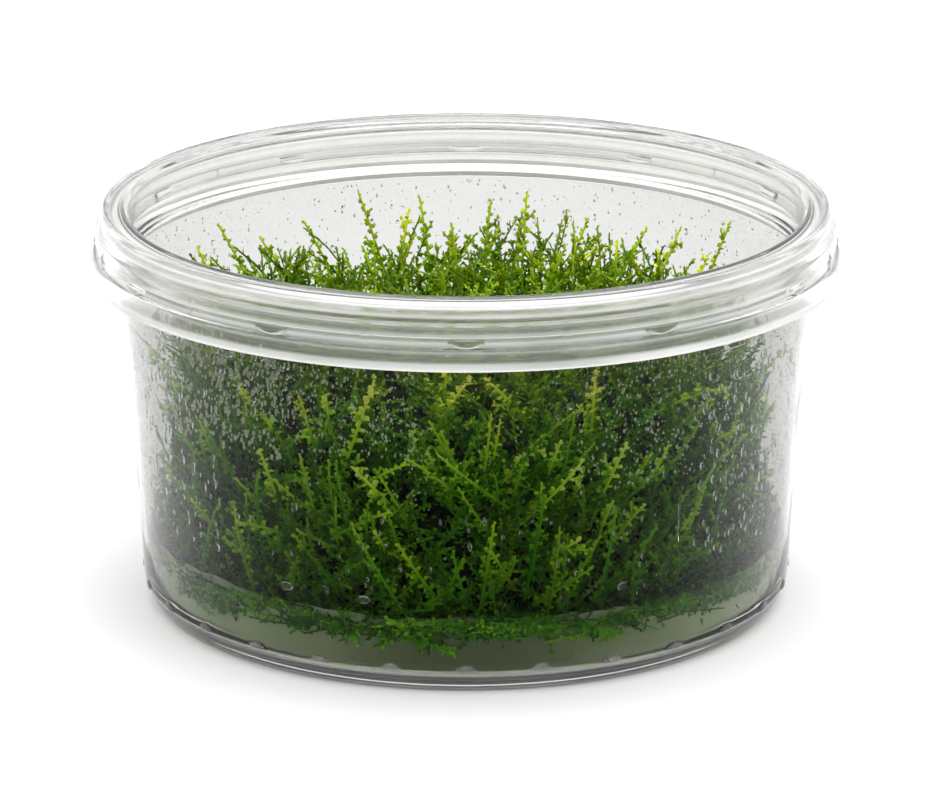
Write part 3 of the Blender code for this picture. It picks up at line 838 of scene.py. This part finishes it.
def main_set(prefix, seed, youth_and_light):
    """The main shoots whose names start with the prefix, with their feet sunk in the mass."""
    rows = []
    for name, (*tip, x, y, rise) in MAIN_SHOOTS.items():
        if name.startswith(prefix):
            height = clump_height(x, y) - FOOT_DEPTH
            rows.append((*tip, FOOT_SHARE * x, FOOT_SHARE * y, height, rise))
    return set_of(rows, seed, youth_and_light)


# The sprigs' distance on a stem, and the distance and the length of twigs on main shoots.
SPRIG_PITCH = 0.56
MAIN_TWIGS = (4.6, 4.2)
# Each group: its seed, the size of its leaves, and how new its growth is, with painted light:
# the front is painted lightest, the right lighter than the left, and the back and the middle darkest.
MAIN_GROUPS = {
    "front": (11, 1.40, 1.12),
    "low": (12, 1.30, 1.08),
    "right": (13, 1.30, 0.90),
    "left": (14, 1.30, 0.78),
    "back": (15, 1.12, 0.58),
    "inner": (16, 1.10, 0.54),
}
for part, (seed, size, youth_and_light) in MAIN_GROUPS.items():
    rng = np.random.default_rng(seed)
    prefix = "shoot_" + part
    shoots = main_set(prefix, seed, youth_and_light)
    piece = grow("moss_main_" + part, shoots, rng, MAIN_TWIGS, 4, size, SPRIG_PITCH, 6, 0.9)
    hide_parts(*[name for name in MAIN_SHOOTS if name.startswith(prefix)])

# Smaller shoots that show between the main ones: tip, foot and rise of the middle.
LESSER_SHOOTS = [
    (-29.5, -31, 19.4, -23.4, -31, 17.6, 0.3), (-31.5, -29.5, 16.9, -27.5, -30, 14, 0),
    (-9.6, -40.5, 23.9, -17.3, -34.5, 18.3, 0.4), (-8.7, -41.3, 19.9, -2.3, -38.5, 9.5, -0.3),
    (3.2, -41, 18.9, 6.3, -38, 12.5, 0), (28.8, -31, 19.7, 24.8, -28.5, 13.2, 0.2),
    (32.7, -27, 15, 27.5, -25.5, 11, 0.2), (-35.6, -24.5, 20.3, -31.6, -24, 14.5, 0.2),
    (-39.2, -18, 22.3, -34.8, -18.5, 16.8, 0.2), (-34.5, -25, 31.3, -32, -21.5, 23.2, 0),
    (-21.2, -36, 38.1, -19.2, -31, 28.6, 0), (-19.3, -29, 29.5, -22.9, -27, 28.4, 1.2),
    (-3.2, -37.5, 33.9, -0.3, -34, 25, 0), (12.1, -38.5, 32.9, 10, -34.5, 25.5, 0.2),
    (6.9, -39.5, 31.2, 4.8, -35, 24.5, 0), (-6.9, -38.5, 34.2, -5.7, -34.5, 27, 0),
    (18.8, -38, 24.6, 16.4, -34, 16.8, 0.2), (31.7, -27, 35, 29, -23.5, 30, 0.4),
    (-7.9, 34, 44, -9.6, 31.5, 34.5, 0), (18.3, 26, 40.3, 12, 23.5, 34, 0.6),
    (21, 27, 41.3, 20.5, 25, 34, 0), (26.4, 20, 41.9, 27, 18, 33, 0),
    (33.3, 19, 41.5, 30, 16, 33, 0.3),
]
shoots = set_of(LESSER_SHOOTS, 17, 0.95)
rng = np.random.default_rng(17)
grow("moss_lesser", shoots, rng, (4.6, 3.6), 4, 1.15, SPRIG_PITCH, 6, 0.9)


# The shoots at the wall. All round the tub the outermost shoots have grown out to the wall, and
# they fan out and cross close behind it.

QUARTER = np.pi / 2
QUARTER_CENTRES = {"front": -QUARTER, "right": 0.0, "back": QUARTER, "left": 2 * QUARTER}


def leaning(rng, around, start, reach, lean, base, finish, least_rise, bulge):
    """Foot, bend and tip of shoots that leave the mass's side and lean left or right.

    A shoot goes from its base radius to its finish radius by its reach, at its lean from upright.
    Its rise falls short by chance, down to a least share, and its middle bulges outwards.
    """
    count = len(around)
    foot = polar(base, around, start)
    end_height = start + reach * np.cos(lean) * rng.uniform(least_rise, 1.0, count)
    tip = polar(finish, around + reach * np.sin(lean) / CLUMP_RADIUS, end_height)
    bend = (foot + tip) / 2 + outward(foot) * rng.uniform(*bulge, count)[:, None]
    return {"foot": foot, "bend": bend, "tip": tip}


def with_looks(rng, shoots, facing, girth, youth_and_light, shares):
    """The shoots with where they face, and a girth, a share of a youth and a tone at random."""
    count = len(facing)
    return {
        **shoots,
        "facing": unit(facing),
        "girth": rng.uniform(*girth, count),
        "youth_and_light": youth_and_light * rng.uniform(*shares, count),
        "tone": rng.uniform(0, 1, count),
    }


def wall_shoots(rng, count, centre, span, low, high, least, most):
    """Shoots in a span round the tub, from the mass's side out to the wall and up by it.

    They start between two heights, and their reach is between least and most.
    """
    around = centre + rng.uniform(-span / 2, span / 2, count)
    start = low + (high - low) * rng.random(count) ** 1.2
    reach = rng.uniform(least, most, count)
    lean = np.clip(rng.normal(0, 0.72, count), -1.35, 1.35)
    base = rng.uniform(35.0, 38.0, count) + 4.0 * ease((14.0 - start) / 4.5)
    finish = rng.uniform(39.6, 42.0, count)
    shoots = leaning(rng, around, start, reach, lean, base, finish, 0.8, (0.6, 1.8))
    shoots["bend"][:, 2] += rng.normal(0, 0.9, count)
    facing = outward(shoots["tip"]) + rng.normal(0, 0.16, (count, 3))
    return with_looks(rng, shoots, facing, (0.80, 1.0), 1.0, (0.40, 0.92))


WALL_SHOOTS = {"front": 62, "right": 46, "back": 40, "left": 46}
for seed, (part, count) in enumerate(WALL_SHOOTS.items(), start=71):
    rng = np.random.default_rng(seed)
    shoots = wall_shoots(rng, count, QUARTER_CENTRES[part], QUARTER, 9.5, 24.5, 7.5, 15.5)
    grow("moss_wall_" + part, shoots, rng, (5.5, 3.6), 4, 1.12, SPRIG_PITCH, 5, 1.2)

# Short, dark ones stand in the gel all round, close to the wall.
SHORT_SHOOTS = 200
SHORT_YOUTH = 0.68
rng = np.random.default_rng(75)
shoots = wall_shoots(rng, SHORT_SHOOTS, 0.0, 4 * QUARTER, 8.6, 12.0, 3.5, 8.0)
shoots["youth_and_light"] *= SHORT_YOUTH
grow("moss_wall_foot", shoots, rng, (4.0, 2.6), 2, 1.12, SPRIG_PITCH, 3, 1.6)


# The thicket. Behind them hundreds of others crowd the side and the top of the mass: at the side
# they are old, and on top they stand free. All are painted darker than the shoots in front of them,
# a painted shade.

def side_thicket(rng, count, centre, span, low, high, furthest, youth_and_light):
    """Shoots from the mass's side, out towards the wall and up, leaning left or right.

    They start on the mass's own superellipse, and further out low in the gel.
    """
    around = centre + rng.uniform(-span / 2, span / 2, count)
    start = rng.uniform(low, high, count)
    reach = rng.uniform(6.0, 14.0, count)
    lean = rng.uniform(-1.25, 1.25, count)
    base = MAT_RADIUS * (1 - np.clip((start - MAT_FOOT) / (MAT_TOP - MAT_FOOT), 0, 1) ** 4) ** 0.25
    base = np.maximum(base, 22.0) * narrowing(start) + rng.uniform(-2.0, 0.5, count)
    base += 3.5 * ease((12.5 - start) / 4)
    finish = np.clip(base + rng.uniform(1.5, 6.0, count), 0, furthest)
    shoots = leaning(rng, around, start, reach, lean, base, finish, 0.75, (0.2, 1.2))
    facing = outward(shoots["tip"]) + rng.normal(0, 0.25, (count, 3))
    return with_looks(rng, shoots, facing, (0.72, 1.05), youth_and_light, (0.4, 1.0))


def top_thicket(rng, count, reach_from, reach_to, youth_and_light):
    """Shoots spread evenly over the mass's crown, mostly upright, a little shorter at the front."""
    upright = 1.6
    around = rng.uniform(-np.pi, np.pi, count)
    level = np.sqrt(rng.uniform(reach_from**2, reach_to**2, count))
    x, y = level * np.cos(around), level * np.sin(around)
    height = np.minimum(clump_height(x, y) - 3.5, MAT_TOP - 0.5)
    foot = np.stack([x, y, height], axis=-1)
    sway = rng.normal(0, 4.2, (count, 2))
    outwards = outward(foot)[:, :2] * rng.uniform(-1.0, 3.5, count)[:, None]
    high = 40.2 - 3.8 * ease((-4 - y) / 26) + rng.normal(0, 1.6, count)
    tip = np.column_stack([foot[:, :2] + sway + outwards, high])
    bow = rng.normal(0, 1.7, (count, 2)) - 0.2 * sway
    bend = (foot + tip) / 2 + np.column_stack([bow, np.full(count, upright)])
    facing = np.column_stack([rng.normal(0, 0.6, (count, 2)), rng.uniform(0.1, 0.7, count)])
    shoots = {"foot": foot, "bend": bend, "tip": tip}
    return with_looks(rng, shoots, facing, (0.75, 1.05), youth_and_light, (0.5, 1.0))


# The distance and the length of twigs in the thicket, and the size and the distance of its leaves.
CROWD_TWIGS = (2.9, 3.3)
LEAF_SIZE = 1.12
LEAF_PITCH = 0.55


def crowd(name, shoots, rng):
    """One piece of thicket, whose lobes are single leaves."""
    grow(name, shoots, rng, CROWD_TWIGS, 1, LEAF_SIZE, LEAF_PITCH, 3, 3.0)


SIDE_SHOOTS = {"front": 330, "right": 250, "back": 230, "left": 250}
for seed, (part, count) in enumerate(SIDE_SHOOTS.items(), start=21):
    rng = np.random.default_rng(seed)
    shoots = side_thicket(rng, count, QUARTER_CENTRES[part], QUARTER, 8.0, 27.0, 39.6, 0.46)
    crowd("moss_side_" + part, shoots, rng)

rng = np.random.default_rng(31)
crowd("moss_top_rim", top_thicket(rng, 400, 21.0, 36.5, 0.52), rng)
crowd("moss_top_middle", top_thicket(rng, 220, 0.0, 21.0, 0.50), rng)

# The fringe. The lowest shoots hang or lie sunk in the gel, mostly dark, and press flat against the
# wall where they reach it.
FRINGE_COUNT = 460
FRINGE_GAP = 0.04
FRINGE_TOP = 10.4
rng = np.random.default_rng(41)
in_front = FRINGE_COUNT // 4
fringe = join_shoots(
    side_thicket(rng, in_front, FRONT, 1.5 * QUARTER, 6.5, 11.5, 44.0, 0.52),
    side_thicket(rng, FRINGE_COUNT - in_front, 0.0, 4 * QUARTER, 6.5, 11.5, 44.0, 0.38),
)
swing = np.arctan2(fringe["foot"][:, 1], fringe["foot"][:, 0])
bend_swing = swing + rng.normal(0, 0.05, FRINGE_COUNT)
tip_swing = swing + rng.normal(0, 0.16, FRINGE_COUNT)
# It hangs in deep and shallow tufts: two sines round the tub, multiplied.
depth = 1.5 + 4.6 * np.abs(np.sin(4.5 * swing + 0.4) * np.sin(10.5 * swing + 1.1))
fringe["bend"] = polar(45.2, bend_swing, rng.uniform(6.0, 11.5, FRINGE_COUNT))
fringe["tip"] = polar(43.8, tip_swing, FRINGE_TOP - depth * rng.random(FRINGE_COUNT) ** 0.8)
fringe["facing"] = outward(fringe["tip"])
fringe["youth_and_light"] = 0.02 + 0.52 * rng.random(FRINGE_COUNT) ** 1.8
grow("moss_fringe", fringe, rng, (3.4, 3.0), 2, 1.10, 0.76, 3, 2.0, FRINGE_GAP)


# The condensation. The tub was sealed while the moss grew in it, so the wall above the gel is
# beaded with water: a fog of fine drops at the upper left, coarser and longer ones at the sides.

def bead_shape(steps, rings):
    """A flat-backed drop of radius one: a dome on a disc, closed at both poles, in triangles."""
    tilt = np.linspace(0, np.pi / 2, rings + 1)[:0:-1]
    profile = np.array([(0, 0), *zip(np.sin(tilt), np.cos(tilt)), (0, 1)])
    spots, (quads, base, crown) = turn(profile, steps, lambda *place: place[:2])
    return spots, np.concatenate([base, quads[:, [0, 1, 3]], quads[:, 1:], crown])


# The gap of a drop's flat back from the wall, and how much shorter the drop is at its crown.
DROP_CLEARANCE = 0.02
DROP_SAG = 0.18


def wall_beads(name, water, around, height, width, longer, depth, steps, rings):
    """Drops on the inner wall, longer upwards than they are wide."""
    shape, tris = bead_shape(steps, rings)
    inward = polar(-1.0, around, 0.0)
    level = np.stack([np.sin(around), -np.cos(around), np.zeros(len(around))], axis=-1)
    upward = np.cross(inward, level)
    centre = polar(wall_inside(height) - DROP_CLEARANCE, around, height)
    sized = shape * np.stack([width, width * longer, width * depth], axis=-1)[:, None]
    sized[..., 1] -= DROP_SAG * sized[..., 1] * shape[:, 2]
    points = centre[:, None]
    for k, way in enumerate((level, upward, inward)):
        points = points + way[:, None] * sized[..., k:k + 1]
    faces = copies_of(tris, len(around), len(shape))
    piece = new_piece(name, points.reshape(-1, 3), [faces], water)
    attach(piece, "root")


# Clean water in small drops: no colour, no haze.
WATER_IOR = 1.333
pure_water = new_material(
    "condensed_water", Base_Color=srgb("#ffffff"), Roughness=0.0, IOR=WATER_IOR,
    Transmission_Weight=1.0,
)[0]

# The finest drops, each standing for several that lie together, so they are whitish. Their
# milk-white, pale green look is partly a painted highlight, for the light the drops bend and throw
# back.
misted_water_painted_highlight = new_material(
    "misted_water_painted_highlight", Base_Color=srgb("#f4ffda"), Roughness=0.0, IOR=WATER_IOR,
    Transmission_Weight=0.22,
)[0]

RIM_LEDGE = 45.0
rng = np.random.default_rng(51)


def scatter(count, from_degrees, to_degrees, low, high, least, most):
    """Angles, heights and half widths at random in a window of the wall.

    0 degrees is at the front and the angle grows to the right. Small drops outnumber large ones.
    """
    around = np.radians(rng.uniform(from_degrees, to_degrees, count)) + FRONT
    width = least + (most - least) * rng.random(count) ** 2
    return np.column_stack([around, high - (high - low) * rng.random(count) ** 1.3, width])


FOG_WINDOWS = (
    (750, -62, -32, 30.0, RIM_LEDGE, 0.14, 0.34),
    (560, -36, -8, 32.0, RIM_LEDGE, 0.09, 0.20),
    (150, -40, -5, 25.0, 37.0, 0.07, 0.15),
    (150, -10, 20, 31.0, 44.5, 0.06, 0.14),
    (700, 18, 52, 27.0, RIM_LEDGE, 0.09, 0.20),
    (500, 48, 80, 16.0, RIM_LEDGE, 0.09, 0.24),
    (300, -85, -60, 14.0, 43.0, 0.08, 0.22),
    (1300, 80, 275, 14.0, RIM_LEDGE, 0.08, 0.20),
)
windows = np.concatenate([scatter(*window) for window in FOG_WINDOWS])

# The fog leaves the main shoots at the front free: where one leans towards the wall, its leaves
# have wiped off the drops that would hide it from the photo's viewpoint.
VIEWPOINT = np.array((0.0, -707.8, 244.5))
WIPED_WIDTH = 1.0
WIPED_HEIGHT = 38.0
WIPED_SPOTS = 16


def on_wall(spots):
    """Angle and height at which the line from each point to the viewpoint crosses the wall.

    It solves the quadratic of a line through a cylinder.
    """
    way = unit(VIEWPOINT - spots)
    level = (way[:, :2] ** 2).sum(axis=1)
    half = (spots[:, :2] * way[:, :2]).sum(axis=1)
    gone = (spots[:, :2] ** 2).sum(axis=1) - wall_inside(WIPED_HEIGHT) ** 2
    crossing = spots + way * ((np.sqrt(half**2 - level * gone) - half) / level)[:, None]
    return np.arctan2(crossing[:, 1], crossing[:, 0]), crossing[:, 2]


wiping = [main_set("shoot_" + part, 0, 1.0) for part in ("front", "left", "right")]
front_shoots = join_shoots(*wiping)
index, number = spread(np.full(len(front_shoots["tip"]), WIPED_SPOTS))
wiped_around, wiped_height = on_wall(along(front_shoots, index, 0.25 + number / 20)[0])
across = (windows[:, 0, None] - wiped_around) * wall_inside(WIPED_HEIGHT)
nearest = np.hypot(across, windows[:, 1, None] - wiped_height).min(axis=1)
windows = windows[nearest > WIPED_WIDTH]
around, height, width = windows.T
longer = rng.uniform(1.0, 1.9, len(around))
wall_beads("condensation_fog", misted_water_painted_highlight, around, height, width, longer, 0.7, 6, 2)

DROP_WINDOWS = (
    (150, -76, -46, 14.0, 38.0, 0.20, 0.42),
    (60, -46, -28, 36.0, 43.5, 0.20, 0.32),
    (190, 42, 82, 14.0, 40.0, 0.20, 0.40),
    (160, 85, 275, 14.0, 42.0, 0.20, 0.40),
    (60, -42, 42, 12.0, 24.0, 0.14, 0.28),
)
around, height, width = np.concatenate([scatter(*window) for window in DROP_WINDOWS]).T
longer = rng.uniform(1.3, 2.8, len(around))
wall_beads("condensation_drops", pure_water, around, height, width, longer, 0.55, 10, 3)

# Wide flat drops that the gel left on the wall over its edge, a few small ones higher up, and one
# long run of water at the right: degrees from the front, height, half width, times as long.
SPLASHES = np.array([
    (-32.0, 12.7, 1.1, 0.50),
    (-24.5, 13.0, 0.5, 1.3),
    (-17.5, 12.4, 0.9, 0.6),
    (27.5, 13.2, 0.8, 0.8),
    (17.0, 38.9, 0.45, 1.0),
    (15.0, 37.6, 0.40, 0.9),
    (-14.5, 36.2, 0.45, 1.2),
    (-9.0, 34.0, 0.35, 1.0),
    (38.5, 20.0, 0.22, 19.0),
])
degrees, height, width, longer = SPLASHES.T
around = np.radians(degrees) + FRONT
wall_beads("water_splashes", pure_water, around, height, width, longer, 0.20, 20, 6)

# Fine beads of water on the ends of the leaves nearest the wall and the open top.
BEAD_COUNT = 3200
ends = np.concatenate(leaf_ends)
open_ends = ends[(np.hypot(ends[:, 0], ends[:, 1]) > 37.5) | (ends[:, 2] > 37.0)]
rng = np.random.default_rng(61)
chosen = open_ends[rng.choice(len(open_ends), BEAD_COUNT, replace=False)]
bead = np.array([(1, 0, 0), (0, 1, 0), (-1, 0, 0), (0, -1, 0), (0, 0, 1), (0, 0, -1)])
bead_tris = np.array([
    (4, 0, 1), (4, 1, 2), (4, 2, 3), (4, 3, 0), (5, 1, 0), (5, 2, 1), (5, 3, 2), (5, 0, 3),
])
radius = rng.uniform(0.10, 0.19, BEAD_COUNT)
points = chosen[:, None] + bead * radius[:, None, None]
faces = copies_of(bead_tris, BEAD_COUNT, len(bead))
dew = new_piece("leaf_dew", points.reshape(-1, 3), [faces], pure_water)
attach(dew, "root")


# The studio. A pale seamless floor, a broad soft light overhead, a soft light from the front right
# and an even pale sky.

floor_material = new_material("studio_floor", Base_Color=srgb("#fcfcfc"), Roughness=0.85)[0]
corners = np.array([(-4000, -3000, 0), (4000, -3000, 0), (4000, 5000, 0), (-4000, 5000, 0)], float)
floor = new_piece("studio_floor", corners, [np.array([(0, 1, 2, 3)])], floor_material)

world = bpy.data.worlds.new("studio_sky")
bpy.context.scene.world = world
world.use_nodes = True
tree = world.node_tree
way = add_node(tree, "TexCoord", output="Generated")
up = add_node(tree, "SeparateXYZ", {"Vector": way}, output="Z")
rising = add_node(tree, "MapRange", {"Value": up, "From Min": -1.0, "From Max": 1.0})
sky = add_node(tree, "ValToRGB", {"Fac": rising})
# The sky's greys from below the horizon up to overhead.
SKY_GREYS = ((0.45, "#f0f0f0"), (0.56, "#ececec"), (0.72, "#e2e2e2"), (1.00, "#f8f8f8"))
SKY_STRENGTH = 1.36
set_stops(sky, [(rise, srgb(code)) for rise, code in SKY_GREYS])
background = tree.nodes["Background"]
tree.links.new(sky, background.inputs["Color"])
background.inputs["Strength"].default_value = SKY_STRENGTH


LIGHT_AIM = Vector((0, 0, 0.03))


def soft_light(name, place, width, height, power):
    """A rectangular area light at a place in metres, turned to the object, its power in watts."""
    data = bpy.data.lights.new(name, "AREA")
    data.shape = "RECTANGLE"
    data.size = width
    data.size_y = height
    data.energy = power
    lamp = bpy.data.objects.new(name, data)
    bpy.context.scene.collection.objects.link(lamp)
    lamp.location = place
    lamp.rotation_euler = (LIGHT_AIM - lamp.location).to_track_quat("-Z", "Y").to_euler()


soft_light("overhead_softbox", (0.05, 0.1, 1.1), 1.0, 0.8, 5.5)
soft_light("front_right_softbox", (0.8, -0.8, 0.8), 0.5, 0.5, 1.4)

# The camera stands at the photo's viewpoint. Its lens and its tilt in degrees come from the
# ellipses of the tub in the photo.
LENS = 212.2
SENSOR_WIDTH = 36.0
TILT_DOWN = 17.129
camera_data = bpy.data.cameras.new("photo_camera")
camera_data.lens = LENS
camera_data.sensor_width = SENSOR_WIDTH
camera_data.clip_start = 0.01
camera_data.clip_end = 20.0
camera = bpy.data.objects.new("photo_camera", camera_data)
bpy.context.scene.collection.objects.link(camera)
camera.location = VIEWPOINT * MM
camera.rotation_euler = (np.radians(90 - TILT_DOWN), 0.0, 0.0)
bpy.context.scene.camera = camera
bpy.context.scene.view_settings.view_transform = "Standard"
